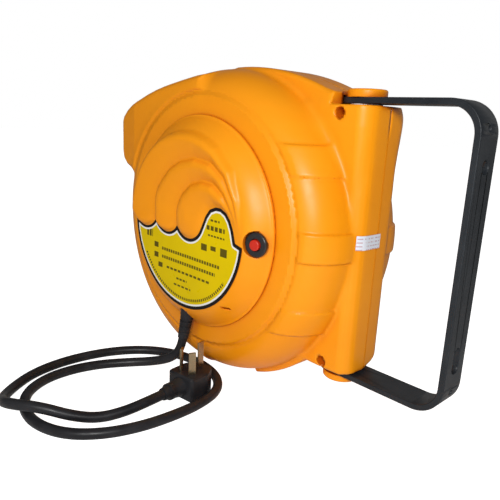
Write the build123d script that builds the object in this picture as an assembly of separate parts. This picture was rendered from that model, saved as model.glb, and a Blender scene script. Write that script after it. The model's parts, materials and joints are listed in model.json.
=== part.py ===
from build123d import *
import math
import os

# Wall-mounted retractable extension cord reel. All sizes in millimetres.
# The sub-parts are drawn about the spool axis: X towards the wall, Y along the spool, Z up.
# SPOOL_AT then lifts them so that the reel's rest pad stands on Z = 0.

os.makedirs("parts", exist_ok=True)

# ---------------------------------------------------------------- driving dimensions
SPOOL_AT = Location((-39, 0, 150))  # spool axis in the part's own frame
WALL = 3.0  # moulded wall thickness
FIT = 0.05  # radial clearance of a running or sliding fit

BODY_R = 145.0  # drum body radius
BODY_DROP = 4.0  # drum body centre below the spool axis
FULL_HALF = 20.0  # half width of the drum at its full radius
DISC_R = 115.0  # proud disc on each side face
SHOULDER_Y = 61.5  # side face of the drum shoulder
DISC_Y = 63.5  # side face of the proud disc
DISC_FOOT = (124.5, 57.0)  # radius and Y where the disc's sloped edge ends
COVER_R = 98.5  # side covers
LABEL_Y = 82.0  # flat face that carries the label
LABEL_R = 79.0
STICKER_X = 147.6  # where the seal starts on the post's rear corner
STICKER_Z = (-1.3, 10.5)
STICKER_PAST_SEAM = 3.5
SIDE_Y = 87.0  # furthest reach of either side
BAND_RISE = 2.0  # raised bands on the drum
BAND_HALF = 12.0  # half height of a band
BAND_Z = (-67.0, 0.0, 67.0)
KEEL_RISE = 5.0  # keel between the drum and the post's foot

SPINE_HALF = 25.0  # half width of the spine between drum and post
HOOD_HALF = 57.0  # half width of the cable hood
HOOD_FRONT = 150.5  # hood mouth plane, ahead of the spool axis
PIVOT_X = 129.0  # bracket swivel axis, behind the spool axis
POST_TOP = 111.0  # half height of the post
ARM_IN = 112.5  # half gap between the bracket arms
PLATE = 5.0  # bracket plate thickness
PLATE_HALF = 14.0  # half width of the bracket plate
BRACKET_REACH = 102.0  # swivel axis to the bracket's wall face
BEND_R = 25.0  # outer bend radius of the bracket
HOLE_Z = 72.0  # wall fixing holes above and below the spool axis
HOLE_R = 5.0
SLOT_LENGTH = 21.0
REST_Z = -150.0  # underside of the rest pad

SHAFT_R = 8.0
FLANGE_R = 122.0
HUB_R = 46.0
PACK_R = 106.0  # outer radius of the wound cable
FLANGE_Y = -41.0  # outer face of the label-side flange
HUB_Y = (-38.5, 14.0)
FLANGE_T = 2.5
CASE_R = 95.0  # mainspring case
CASE_Y = (16.5, 50.0)
RATCHET_TEETH = 12
PAWL_R = 100.0  # pawl pivot, from the spool axis
PAWL_ANGLE = 200.65

ROD_R = 5.0  # swivel rod
CAP_HEIGHT = 6.4  # cap over each pivot nut
CORD_D = 8.8  # supply cord
PLUG_AXIS = 97.0  # heading of the plug's earth end, degrees from +X

written = []


def listed(shape):
    return shape if isinstance(shape, list) else [shape]


def save(node, shape, place=SPOOL_AT):
    """Write one sub-part, a solid or a list of alike solids, in the part's own frame."""
    solids = [solid.moved(place) for piece in listed(shape) for solid in piece.solids()]
    export_step(solids[0] if len(solids) == 1 else Compound(solids), f"parts/{node}.step")
    written.append(node)


# ---------------------------------------------------------------- small helpers
def box_at(x0, x1, y0, y1, z0, z1):
    middle = Pos((x0 + x1) / 2, (y0 + y1) / 2, (z0 + z1) / 2)
    return middle * Box(x1 - x0, y1 - y0, z1 - z0)


def cyl_y(r, y0, y1, x=0.0, z=0.0):
    return Pos(x, (y0 + y1) / 2, z) * Rot(90, 0, 0) * Cylinder(r, y1 - y0)


def cyl_x(r, x0, x1, y=0.0, z=0.0):
    return Pos((x0 + x1) / 2, y, z) * Rot(0, 90, 0) * Cylinder(r, x1 - x0)


def cyl_z(r, z0, z1, x=0.0, y=0.0):
    return Pos(x, y, (z0 + z1) / 2) * Cylinder(r, z1 - z0)


def ring_y(outer, inner, y0, y1, x=0.0, z=0.0):
    return cyl_y(outer, y0, y1, x, z) - cyl_y(inner, y0 - 1, y1 + 1, x, z)


def on_circle(r, degrees):
    angle = math.radians(degrees)
    return r * math.cos(angle), r * math.sin(angle)


def turned(points):
    """Solid of revolution about Y from (radius, y) points."""
    return revolve(make_face(Polyline(*points, close=True)), Axis.Y)


def side_plate(outline, y0, y1):
    """Plate between two Y planes from an outline in X and Z."""
    face = Plane.XZ * outline
    return Pos(0, y0, 0) * extrude(face, amount=-(y1 - y0))


def coil(radius, wire, pitch, height, place):
    """Round-wire helical spring standing on its local XY plane."""
    path = Helix(pitch=pitch, height=height, radius=radius)
    start = Plane(origin=path @ 0, z_dir=path % 0)
    return place * sweep(start * Circle(wire / 2), path=path)


# ---------------------------------------------------------------- housing
def drum(inset):
    """Label-side half of the drum body, with rounded shoulder, inset by a wall."""
    rise = BODY_R - DISC_R - inset
    depth = SHOULDER_Y - FULL_HALF - inset
    shoulder = EllipticalCenterArc((DISC_R, -FULL_HALF), rise, depth, start_angle=270, arc_size=90)
    side = SHOULDER_Y - inset
    edge = BODY_R - inset
    walls = Polyline((edge, -FULL_HALF), (edge, 0), (0, 0), (0, -side), (DISC_R, -side))
    body = revolve(make_face(shoulder + walls), Axis.Y)
    return Pos(0, 0, -BODY_DROP) * body


def hood_outline():
    """Side view of the cable hood, from its root on the drum round the mouth to the crown."""
    root = [(-100, 33), (-119, 35.5), (-128, 36.5), (-137.5, 42)]
    mouth = [(-HOOD_FRONT, 55), (-HOOD_FRONT, 88), (-147.5, 94), (-139.5, 101)]
    crown = [(-114, 111), (-84, 120.5), (-57, 126.5), (-20, 132.5), (0, 100)]
    return make_face(Polyline(*root, *mouth, *crown, close=True))


def spine_outline():
    """Side view of the arched spine from the drum's crown down to the post."""
    arch = ThreePointArc((0, 141.5), (64, 137), (110, 122))
    rest = Polyline((110, 122), (110, POST_TOP), (PIVOT_X + 15, POST_TOP))
    foot = Polyline((PIVOT_X + 15, POST_TOP), (PIVOT_X + 15, -POST_TOP), (98, -POST_TOP))
    closing = Polyline((98, -POST_TOP), (0, 0), (0, 141.5))
    return make_face(arch + rest + foot + closing)


def post_outline(inset):
    """Plan view of the label-side half of the post, with its large round rear corner."""
    side, back = -26 + inset, 152 - inset
    near = ThreePointArc((96, side + 5), (118, side + 0.5), (138, side))
    corner = ThreePointArc((138, side), (back - 4.5, side + 4), (back - 0.5, side + 13))
    rear = Polyline((back - 0.5, side + 13), (back, 0), (96, 0), (96, side + 5))
    return make_face(near + corner + rear)


def post(inset, top):
    return Pos(0, 0, -top) * extrude(post_outline(inset), amount=2 * top)


def hood(inset):
    outline = hood_outline()
    if inset:
        outline = offset(outline, -inset)
        return side_plate(outline, -(HOOD_HALF - inset), 0)
    body = side_plate(outline, -HOOD_HALF, 0)
    rim = body.edges().filter_by(lambda e: e.center().Y < -HOOD_HALF + 0.01 and e.center().X < -60)
    return fillet(rim, 5)


def spine(inset):
    outline = spine_outline()
    if inset:
        return side_plate(offset(outline, -inset), -(SPINE_HALF - inset), 0)
    body = side_plate(outline, -SPINE_HALF, 0)
    crown = body.edges().filter_by(lambda e: e.center().Y < -SPINE_HALF + 0.01 and e.center().Z > 125)
    return fillet(crown, 4)


def bands():
    """Three raised level bands on the wall-side quarter, and the keel under the drum."""
    skin = drum(-BAND_RISE)
    raised = [skin & box_at(60, 150, -70, 0, z - BAND_HALF, z + BAND_HALF) for z in BAND_Z]
    keel = drum(-KEEL_RISE) & box_at(45, 108, -SPINE_HALF, 0, -160, -84)
    return raised + [keel]


POST_SCREWS = [(125.0, 104.5), (125.0, -104.5)]
RIM_SCREWS = [on_circle(132, 72), on_circle(132, 222), on_circle(132, 262), (-132.0, 92.0)]
COVER_SCREW_R = 86.0
COVER_SCREW_ANGLES = (45, 135, 225, 315)
TENSION_SCREW_R = 87.0
TENSION_SCREW_ANGLES = (30, 90, 150, 210, 270, 330)
SCREW_R = 2.0
BOSS_R = 5.5
HEAD_R = 4.0
SEAT_POST = 16.0  # screw-head seats, from the parting plane
SEAT_RIM = 14.0


def half_shell(headed, seat):
    """Label-side half shell. `headed` screws have their head recess in this half."""
    foot_r, foot_y = DISC_FOOT
    edge = [(DISC_R, -DISC_Y), (foot_r, -foot_y), (foot_r, -FULL_HALF)]
    outer = turned([(0, -FULL_HALF), (0, -DISC_Y)] + edge) + drum(0)
    for piece in [hood(0), spine(0), post(0, POST_TOP)] + bands():
        outer = outer + piece
    cavity = drum(WALL) + cyl_y(DISC_R - 7, -DISC_Y + WALL, -FULL_HALF) + hood(WALL)
    cavity = cavity + (spine(WALL) - box_at(100, 160, -30, 1, -130, 130))
    cavity = cavity + (post(WALL, POST_TOP - WALL) - box_at(90, 102, -30, 1, -130, 130))
    cavity = cavity - cyl_z(13, -130, 130, x=PIVOT_X)
    for x, z in POST_SCREWS + RIM_SCREWS:
        cavity = cavity - cyl_y(BOSS_R, -DISC_Y, 1, x, z)
    cavity = cavity - cyl_y(15, -DISC_Y, -54)
    shell = outer - cavity
    shell = shell - cyl_z(6.5, -130, 130, x=PIVOT_X)
    for top in (POST_TOP, -POST_TOP):
        shell = shell - cyl_z(9 + FIT, top - 22, top + 22, x=PIVOT_X)
    shell = shell - cyl_z(19.5, POST_TOP, 140, x=PIVOT_X)
    shell = shell - cyl_y(SHAFT_R + FIT, -DISC_Y - 1, 1)
    shell = shell - box_at(-HOOD_FRONT - 5, -HOOD_FRONT + 11, -29.1, 1, 57, 86)
    for x, z in POST_SCREWS + RIM_SCREWS:
        shell = shell - cyl_y(SCREW_R + FIT, -40 if (x, z) in headed else -24, 1, x, z)
        if (x, z) in headed:
            shell = shell - cyl_y(HEAD_R + 0.5, -DISC_Y - 5, -seat, x, z)
    return shell & box_at(-200, 200, -90, 0, -160, 160)


def housing():
    left = half_shell(POST_SCREWS, SEAT_POST)
    left = left - box_at(73, 99, -66, -40, -13, 9)  # window for the breaker
    for angle in COVER_SCREW_ANGLES:
        left = left - cyl_y(1.8, -DISC_Y - 1, -50, *on_circle(COVER_SCREW_R, angle))
    left = left + cyl_y(5, -DISC_Y + WALL - 0.5, -51, *on_circle(PAWL_R, PAWL_ANGLE))
    left = left - cyl_y(2.5, -DISC_Y + 1, -40, *on_circle(PAWL_R, PAWL_ANGLE))
    right = half_shell(RIM_SCREWS, SEAT_RIM).mirror(Plane.XZ)
    hollow = drum(WALL) + drum(WALL).mirror(Plane.XZ)
    right = right + (box_at(-20, 46, 0, 44, REST_Z, -125) - hollow)
    left = left + (box_at(-20, 34, -14, 0, REST_Z, -125) - hollow)
    for angle in TENSION_SCREW_ANGLES:
        x, z = on_circle(TENSION_SCREW_R, angle)
        right = right + cyl_y(4.5, 55, DISC_Y - WALL + 0.5, x, z)
        right = right - cyl_y(SCREW_R + FIT, 54, DISC_Y + 1, x, z)
    save("housing_left", left)
    save("housing_right", right)


def screw(head_y, tip_y, x, z, head_r=HEAD_R, r=SCREW_R, head_t=2.6):
    """Pan-head screw along Y with a cross recess; the tip is at tip_y."""
    out = -1 if head_y < tip_y else 1
    top = head_y + out * head_t
    body = cyl_y(r, min(head_y, tip_y), max(head_y, tip_y), x, z)
    head = cyl_y(head_r, min(head_y, top), max(head_y, top), x, z)
    head = fillet(head.edges().sort_by(Axis.Y)[0 if out < 0 else -1], 1.0)
    floor = top - out * 1.4
    for w, h in ((3.6, 0.8), (0.8, 3.6)):
        y0, y1 = sorted((floor, top + out))
        head = head - box_at(x - w / 2, x + w / 2, y0, y1, z - h / 2, z + h / 2)
    return body + head


def housing_fasteners():
    save("bush_screws", [screw(-SEAT_POST, -9.4, x, z) for x, z in POST_SCREWS])
    save("housing_screws", [screw(SEAT_RIM, -22, x, z) for x, z in RIM_SCREWS])


# ---------------------------------------------------------------- label-side cover
GLAND_TOP = Vector(-2.5, -72.6, -82.0)
GLAND_END = Vector(-6.0, -76.0, -114.0)
BREAKER_TILT = 12.0
BREAKER_AT = Pos(88.0, -74.0, -2.0) * Rot(0, 0, BREAKER_TILT)


def label_outline():
    """Wave-topped label: a round lower edge, three scallops and one hump."""
    right = on_circle(LABEL_R, -4.5)
    left = on_circle(LABEL_R, 182.2)
    low = ThreePointArc(left, (0, -LABEL_R), right)
    waves = [
        ThreePointArc(left, (-61, -10.5), (-44, 0)),
        ThreePointArc((-44, 0), (-26, -10.5), (-10, -2)),
        ThreePointArc((-10, -2), (7, -11.5), (24, -1)),
        Spline((24, -1), (31, 13), (44, 22.5), (57, 20.5), (66, 9), (70, -4), right),
    ]
    return make_face(low + waves)


def gland_axis(radius, start, end):
    """Round bar along the gland's axis, from and to distances past its top."""
    direction = (GLAND_END - GLAND_TOP).normalized()
    base = Plane(origin=GLAND_TOP + direction * start, z_dir=direction)
    return extrude(base * Circle(radius), amount=end - start)


def terminal_cover():
    slope = ThreePointArc((COVER_R - 1.5, -66.5), (89.5, -75.5), (75, -LABEL_Y))
    flat = Polyline((75, -LABEL_Y), (0, -LABEL_Y), (0, -DISC_Y), (COVER_R, -DISC_Y))
    rim = Polyline((COVER_R, -DISC_Y), (COVER_R, -66.5), (COVER_R - 1.5, -66.5))
    cover = revolve(make_face(slope + flat + rim), Axis.Y)
    scallops = [(-74, 0), (-44, 2), (-10, 0), (24, 2), (31, 16), (44, 25.5), (60, 25), (71, 8)]
    sweep_over = [on_circle(82, angle) for angle in (14, 50, 80, 110, 140, 168)]
    swirl = make_face(Polyline(*scallops, *sweep_over, close=True))
    relief = side_plate(swirl, -SIDE_Y, -LABEL_Y + 4)
    relief = chamfer(relief.faces().sort_by(Axis.Y)[0].edges(), 3.0)
    inner_slope = [(73, -LABEL_Y + 2.5), (87.5, -74), (95.5, -66.5), (95.5, -60)]
    hollow = turned([(0, -LABEL_Y + 2.5)] + inner_slope + [(0, -60)])
    cover = cover + relief - hollow
    for angle in COVER_SCREW_ANGLES:
        x, z = on_circle(COVER_SCREW_R, angle)
        boss = cyl_y(4.5, -73, -DISC_Y, x, z) - cyl_y(1.8, -71, -60, x, z)
        cover = cover + boss
    cover = cover - gland_axis(6.8, -4, 40) - gland_axis(7.7, -1, 1.5)
    seat = BREAKER_AT * cyl_y(10.6, -30, 0)
    bore = BREAKER_AT * cyl_y(7.2, -30, 30)
    save("terminal_cover", cover - seat - bore)


def label_parts():
    save("rating_label", side_plate(label_outline(), -LABEL_Y - 0.4, -LABEL_Y))
    wrap = post(-0.5, 30) - post(-0.1, 31)
    wrap = wrap & box_at(STICKER_X, 160, -24, 0, *STICKER_Z)
    over_seam = box_at(152.1, 152.5, 0, STICKER_PAST_SEAM, *STICKER_Z)
    save("inspection_sticker", wrap + over_seam)


def breaker():
    collar = ring_y(10.4, 5.2, -3.2, 0)
    collar = fillet(collar.edges().sort_by(Axis.Y)[0:1], 1.4)
    neck = ring_y(7.1, 5.2, 0, 5)
    save("breaker_collar", BREAKER_AT * (collar + neck))
    body = box_at(-8, 4, 5, 20, -9.5, 9.5)
    tabs = [box_at(-3, 3, 20, 24, z - 0.4, z + 0.4) for z in (-6, 6)]
    save("breaker_body", BREAKER_AT * (body + tabs))
    button = cyl_y(4.6, -5.4, 1.5)
    button = fillet(button.edges().sort_by(Axis.Y)[0], 1.0)
    save("reset_button", BREAKER_AT * button)


def terminal_compartment():
    block = box_at(-24, 24, -76, -DISC_Y, -58, -42)
    for x in (-16, 0, 16):
        block = block - cyl_y(3, -77, -69, x, -50) - cyl_y(1.5 + FIT, -70, -65.5, x, -50)
    save("terminal_block", block)
    save("terminal_screws", [screw(-69, -66, x, -50, head_r=2.6, r=1.5, head_t=1.6) for x in (-16, 0, 16)])
    covers = []
    for angle in COVER_SCREW_ANGLES:
        x, z = on_circle(COVER_SCREW_R, angle)
        covers.append(screw(-DISC_Y + WALL, -70.5, x, z, head_r=3.6, r=1.75, head_t=2.2))
    save("terminal_cover_screws", covers)
    gland = gland_axis(6.8, -4, 8) + gland_axis(7.7, -1, 1.5)
    direction = (GLAND_END - GLAND_TOP).normalized()
    top = Plane(origin=GLAND_TOP + direction * 8, z_dir=direction)
    end = Plane(origin=GLAND_END, z_dir=direction)
    taper = loft([top * Circle(6.4), end * Circle(5.2)])
    for step in range(3):
        at = 13 + 6 * step
        taper = taper - (gland_axis(8, at, at + 1.6) - gland_axis(4.9, at - 1, at + 3))
    save("supply_gland", gland + taper)


# ---------------------------------------------------------------- spring-side cover
def tension_cover():
    dish = [(COVER_R, 67), (95, 70), (84, 76), (60, 79), (42, 80), (36, SIDE_Y)]
    hollow = [(95.5, 66.5), (83, 73), (60, 76.4), (40, 77.4), (34.5, 84.2)]
    outer = turned([(0, DISC_Y), (COVER_R, DISC_Y)] + dish + [(0, SIDE_Y)])
    inner = turned([(0, DISC_Y - 1), (95.5, DISC_Y - 1)] + hollow + [(0, 84.2)])
    cover = outer - inner
    screws = []
    for angle in TENSION_SCREW_ANGLES:
        x, z = on_circle(TENSION_SCREW_R, angle)
        cover = cover + (cyl_y(5.5, DISC_Y, 73, x, z) & outer)
        cover = cover - cyl_y(4.4, 68, 90, x, z) - cyl_y(2.1, 60, 90, x, z)
        screws.append(screw(68, 56, x, z))
    save("tension_cover", cover)
    save("tension_cover_screws", screws)


# ---------------------------------------------------------------- swivel bracket and pivot
def bracket_outline():
    """Side view of the folded plate: two arms and the wall plate with round bends."""
    wall = PIVOT_X + BRACKET_REACH
    tail = PIVOT_X - 17
    top = ARM_IN + PLATE
    outer = make_face(Polyline((tail, top), (wall, top), (wall, -top), (tail, -top), close=True))
    outer = fillet(outer.vertices().group_by(Axis.X)[-1], BEND_R)
    inner_wall = wall - PLATE
    gap = [(tail - 5, ARM_IN), (inner_wall, ARM_IN), (inner_wall, -ARM_IN), (tail - 5, -ARM_IN)]
    inner = make_face(Polyline(*gap, close=True))
    inner = fillet(inner.vertices().group_by(Axis.X)[-1], BEND_R - PLATE)
    return outer - inner


def wall_bracket():
    plate = side_plate(bracket_outline(), -PLATE_HALF, PLATE_HALF)
    corners = plate.edges().filter_by(Axis.Z).group_by(Axis.X)[0]
    plate = fillet(corners, 9)
    plate = plate - cyl_z(ROD_R, -130, 130, x=PIVOT_X)
    wall = PIVOT_X + BRACKET_REACH
    plate = plate - cyl_x(HOLE_R, wall - 20, wall + 5, z=HOLE_Z)
    slot = SlotOverall(SLOT_LENGTH, 2 * HOLE_R, rotation=90)
    cutter = Pos(wall - 20, 0, -HOLE_Z) * extrude(Plane.YZ * slot, amount=30)
    plate = plate - cutter
    for z in (98, -98):
        plate = plate - cyl_x(2.2, wall - 20, wall + 5, z=z)
    save("wall_bracket", plate)


def pivot():
    save("pivot_rod", cyl_z(ROD_R, -122.5, 122.5, x=PIVOT_X))
    nuts = []
    for side in (1, -1):
        seat = ARM_IN + PLATE
        prism = extrude(RegularPolygon(8, 6), amount=4.5)
        bottom = seat if side > 0 else -seat - 4.5
        nuts.append(Pos(PIVOT_X, 0, bottom) * prism - cyl_z(ROD_R, -130, 130, x=PIVOT_X))
    save("pivot_nuts", nuts)
    for name, side in (("upper", 1), ("lower", -1)):
        low, high = sorted((side * (POST_TOP - 20), side * POST_TOP))
        bush = cyl_z(9, low, high, x=PIVOT_X)
        low, high = sorted((side * POST_TOP, side * (ARM_IN - 0.1)))
        bush = bush + cyl_z(13, low, high, x=PIVOT_X) - cyl_z(ROD_R + FIT, -130, 130, x=PIVOT_X)
        save(f"{name}_pivot_bush", bush)
        seat = ARM_IN + PLATE
        low, high = sorted((side * seat, side * (seat + CAP_HEIGHT)))
        cap = cyl_z(16, low, high, x=PIVOT_X)
        tip = cap.edges().filter_by(GeomType.CIRCLE).sort_by(Axis.Z)
        cap = fillet(tip[-1] if side > 0 else tip[0], 2.0)
        low, high = sorted((side * (seat - 1), side * (seat + CAP_HEIGHT - 1.2)))
        cap = cap - cyl_z(12, low, high, x=PIVOT_X)
        save(f"{name}_pivot_cap", cap)


# ---------------------------------------------------------------- shaft, spool and mainspring
def shaft():
    bar = cyl_y(SHAFT_R, -DISC_Y, 74) + cyl_y(12, -DISC_Y - 3, -DISC_Y)
    flats = [box_at(-10, 10, DISC_Y, 80, z, z + 5) for z in (6.2, -11.2)]
    for cut in flats:
        bar = bar - cut
    save("main_shaft", bar)
    anchor = cyl_y(24, DISC_Y, DISC_Y + 3) - box_at(-8.1, 8.1, DISC_Y - 1, DISC_Y + 4, -6.25, 6.25)
    save("shaft_anchor", anchor)
    hexagon = Pos(0, DISC_Y + 3, 0) * Rot(-90, 0, 0) * extrude(RegularPolygon(13, 6), amount=5)
    save("shaft_nut", hexagon - cyl_y(SHAFT_R, 60, 80))


def spool():
    left = cyl_y(FLANGE_R, FLANGE_Y, HUB_Y[0]) + cyl_y(24, FLANGE_Y, -33)
    save("spool_flange_left", left - cyl_y(14, -50, -30))
    right = cyl_y(FLANGE_R, HUB_Y[1], HUB_Y[1] + FLANGE_T) + cyl_y(24, 8, HUB_Y[1] + FLANGE_T)
    save("spool_flange_right", right - cyl_y(14, 0, 30))
    save("spool_hub", ring_y(HUB_R, HUB_R - 4, *HUB_Y))
    pack = cyl_y(PACK_R, HUB_Y[0] + 0.2, HUB_Y[1] - 0.2)
    save("wound_cable", pack - cyl_y(HUB_R, -60, 60))
    for name, y0, y1 in (("left", -43, -33), ("right", 8, 18)):
        save(f"spool_bush_{name}", ring_y(14, SHAFT_R + FIT, y0, y1))


def spring_drive():
    case = cyl_y(CASE_R, CASE_Y[0], CASE_Y[1]) - cyl_y(CASE_R - WALL, CASE_Y[0] + 2.5, 80) - cyl_y(20, 0, 80)
    save("spring_case", case)
    save("spring_case_lid", ring_y(CASE_R, 20, CASE_Y[1], CASE_Y[1] + 2.5))
    save("spring_arbor", ring_y(16.9, SHAFT_R, 20, 49))
    turns, r0, r1, thick = 9, 17.0, 88.0, 1.2
    steps = 14 * turns
    inner, outer = [], []
    for index in range(steps + 1):
        angle = 360.0 * turns * index / steps
        r = r0 + (r1 - r0) * index / steps
        inner.append(on_circle(r, angle))
        outer.append(on_circle(r + thick, angle))
    strip = Spline(*inner) + Line(inner[-1], outer[-1]) + Spline(*outer) + Line(outer[0], inner[0])
    save("mainspring", side_plate(make_face(strip), 21, 48))


def slip_rings():
    save("slip_ring_disc", ring_y(62, 26, -46, FLANGE_Y))
    rings = [ring_y(r + 2.5, r - 2.5, -47.2, -46) for r in (34.5, 44.5, 54.5)]
    save("slip_rings", rings)
    holder = box_at(-9, 9, -DISC_Y + WALL, -50, 28, 61)
    brushes = []
    springs = []
    for z in (34.5, 44.5, 54.5):
        holder = holder - box_at(-3, 3, -59, -49, z - 3, z + 3)
        brushes.append(box_at(-2.9, 2.9, -55.5, -47.3, z - 2.9, z + 2.9))
        springs.append(coil(2.1, 0.5, 1.1, 2.6, Pos(0, -55.9, z) * Rot(90, 0, 0)))
    save("brush_holder", holder)
    save("brushes", brushes)
    save("brush_springs", springs)


def ratchet():
    ring = ring_y(120, 110, -46, FLANGE_Y)
    for tooth in range(RATCHET_TEETH):
        angle = 360.0 * tooth / RATCHET_TEETH
        notch = Rot(0, -angle, 0) * box_at(105, 116.5, -47, -40, -8, 8)
        ring = ring - notch
    save("ratchet_ring", ring)
    px, pz = on_circle(PAWL_R, PAWL_ANGLE)
    save("pawl_pin", cyl_y(2.5, -DISC_Y + 1, -41.4, px, pz))
    arm_length, rest = 20.0, 14.0
    heading = PAWL_ANGLE + 90 - rest
    nose = [(arm_length - 3, -2.5), (arm_length, -1), (arm_length, 3)]
    arm = make_face(Polyline((-4, -4), *nose, (-4, 4), close=True))
    plate = Rot(0, -heading, 0) * (side_plate(arm, -45.6, -41.8) + cyl_y(5, -45.6, -41.8))
    plate = Pos(px, 0, pz) * plate
    save("pawl", plate - cyl_y(2.5 + FIT, -50, -40, px, pz))
    save("pawl_spring", coil(3.6, 0.7, 1.0, 3.2, Pos(px, -46.6, pz) * Rot(90, 0, 0)))


# ---------------------------------------------------------------- cable outlet in the hood
def outlet():
    x0, x1 = -HOOD_FRONT + 1.5, -HOOD_FRONT + 21
    level_x, upright_x = -HOOD_FRONT + 5.5, -HOOD_FRONT + 14
    tube = box_at(x0, x1, -29, 29, 57.1, 85.9) - box_at(x0 - 1, x1 + 1, -26.5, 26.5, 59.6, 83.4)
    bezel = box_at(-HOOD_FRONT - 2, -HOOD_FRONT, -33, 33, 55.5, 87.5)
    bezel = fillet(bezel.edges().filter_by(Axis.X), 4)
    bezel = bezel + box_at(-HOOD_FRONT, x0, -29, 29, 57.1, 85.9)
    bezel = bezel - box_at(-HOOD_FRONT - 9, x0 + 1, -26.5, 26.5, 59.6, 83.4)
    frame = bezel + tube
    pins = []
    for z in (63.2, 79.8):
        frame = frame - cyl_y(1.5, -28.9, 28.9, level_x, z)
        pins.append(cyl_y(1.5, -28.5, 28.5, level_x, z))
    for y in (-21.5, 21.5):
        frame = frame - cyl_z(1.5, 57.2, 85.8, x=upright_x, y=y)
        pins.append(cyl_z(1.5, 57.6, 85.4, x=upright_x, y=y))
    save("outlet_frame", frame)
    save("roller_pins", pins)
    for name, z in (("lower", 63.2), ("upper", 79.8)):
        roller = ring_y(3.3, 1.5 + FIT, -26, 26, level_x, z)
        save(f"guide_roller_{name}", roller)
    for name, y in (("left", -21.5), ("right", 21.5)):
        roller = cyl_z(3.6, 60, 83, x=upright_x, y=y) - cyl_z(1.5 + FIT, 59, 84, x=upright_x, y=y)
        save(f"guide_roller_{name}", roller)


# ---------------------------------------------------------------- supply cord and plug
# Route of the supply cord in the part's own frame: out of the gland, down to the floor, once round a
# wide loop, round again behind the plug, over itself once and into the plug's boot.
CORD_ROUTE = [
    (-45, -76, 36),
    (-46.3, -77.3, 24),
    (-53, -83, 13),
    (-69, -94, 6.5),
    (-86, -113, 4.5),
    (-99, -137, 4.5),
    (-105, -164, 4.5),
    (-102, -191, 4.5),
    (-87, -214, 4.5),
    (-62, -226, 4.5),
    (-34, -227, 4.5),
    (-8, -216, 4.5),
    (10, -194, 4.5),
    (20, -166, 4.5),
    (23, -136, 4.5),
    (22, -107, 4.5),
    (14, -80, 4.5),
    (-6, -63, 4.5),
    (-33, -57, 4.5),
    (-61, -59, 4.5),
    (-86, -70, 4.5),
    (-106, -89, 4.5),
    (-119, -114, 4.5),
    (-125, -142, 4.5),
    (-125, -170, 4.5),
    (-118, -197, 4.5),
    (-103, -220, 4.5),
    (-81, -237, 9),
    (-56, -240, 17.5),
    (-36, -223, 17.5),
    (-21, -203, 9),
    (-11, -185, 5),
    (-4, -166, 7),
    (-0.3, -147, 10.5),
    (-2.5, -129, 10.5),
]
PLUG_HEIGHT = 22.0
PLUG_HALF_W = 15.5
PLUG_HALF_L = 16.5
BOOT_LENGTH = 20.0


def corner_radii(points):
    """Arc radius for each corner: 0.45 of the shorter run over the tangent of half the turn."""
    radii = []
    for a, b, c in zip(points, points[1:], points[2:]):
        first = Vector(*b) - Vector(*a)
        second = Vector(*c) - Vector(*b)
        half_turn = math.radians(first.get_angle(second) / 2)
        radii.append(0.45 * min(first.length, second.length) / math.tan(half_turn))
    return radii


def supply_cord():
    radii = corner_radii(CORD_ROUTE)
    print("cord arc radii:", " ".join(f"{r:.0f}" for r in radii))
    path = FilletPolyline(*CORD_ROUTE, radius=radii)
    start = Plane(origin=path @ 0, z_dir=path % 0)
    tube = sweep(start * Circle(CORD_D / 2), path=path)
    expected = math.pi * (CORD_D / 2) ** 2 * path.length
    print(f"cord length {path.length:.1f}, tube volume over section x length {tube.volume / expected:.4f}")
    save("supply_cord", tube, Location())


def plug():
    end = Vector(*CORD_ROUTE[-1])
    axis = Vector(math.cos(math.radians(PLUG_AXIS)), math.sin(math.radians(PLUG_AXIS)), 0)
    centre = Vector(end.X, end.Y, 0) + axis * (BOOT_LENGTH + PLUG_HALF_L)
    place = Location((centre.X, centre.Y, 0), (0, 0, PLUG_AXIS - 90))
    half_w, half_l = PLUG_HALF_W, PLUG_HALF_L
    tail = [(-half_w, -half_l), (half_w, -half_l)]
    nose = [(half_w, 4), (half_w - 7, half_l), (7 - half_w, half_l), (-half_w, 4)]
    outline = make_face(Polyline(*tail, *nose, close=True))
    outline = fillet(outline.vertices(), 3.5)
    body = extrude(outline, amount=PLUG_HEIGHT)
    body = chamfer(body.faces().sort_by(Axis.Z)[-1].edges(), 1.5)
    face = Plane(origin=(0, -half_l, end.Z), z_dir=(0, -1, 0))
    far = Plane(origin=(0, -half_l - BOOT_LENGTH, end.Z), z_dir=(0, -1, 0))
    boot = loft([face * Circle(9), far * Circle(5.4)])
    collar = Pos(0, -half_l - 12, end.Z) * Rot(90, 0, 0) * Cylinder(7.5, 4)
    floor = box_at(-40, 40, -60, 40, -30, 0)
    save("plug_body", body + boot + collar - floor, place)
    pins = []
    for x, y, turn, length in ((0, 9.5, 0, 24), (-6.9, -8, 30, 21), (6.9, -8, -30, 21)):
        blade = Box(1.6, 6.5, length)
        blade = chamfer(blade.faces().sort_by(Axis.Z)[-1].edges(), 0.5)
        pins.append(Pos(x, y, PLUG_HEIGHT + length / 2) * Rot(0, 0, turn) * blade)
    save("plug_pins", pins, place)


# ---------------------------------------------------------------- build everything
housing()
housing_fasteners()
terminal_cover()
label_parts()
breaker()
terminal_compartment()
tension_cover()
wall_bracket()
pivot()
shaft()
spool()
spring_drive()
slip_rings()
ratchet()
outlet()
supply_cord()
plug()
print(len(written), "nodes written")
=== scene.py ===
import bpy
import json
import math
import numpy as np
from mathutils import Matrix, Vector


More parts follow.
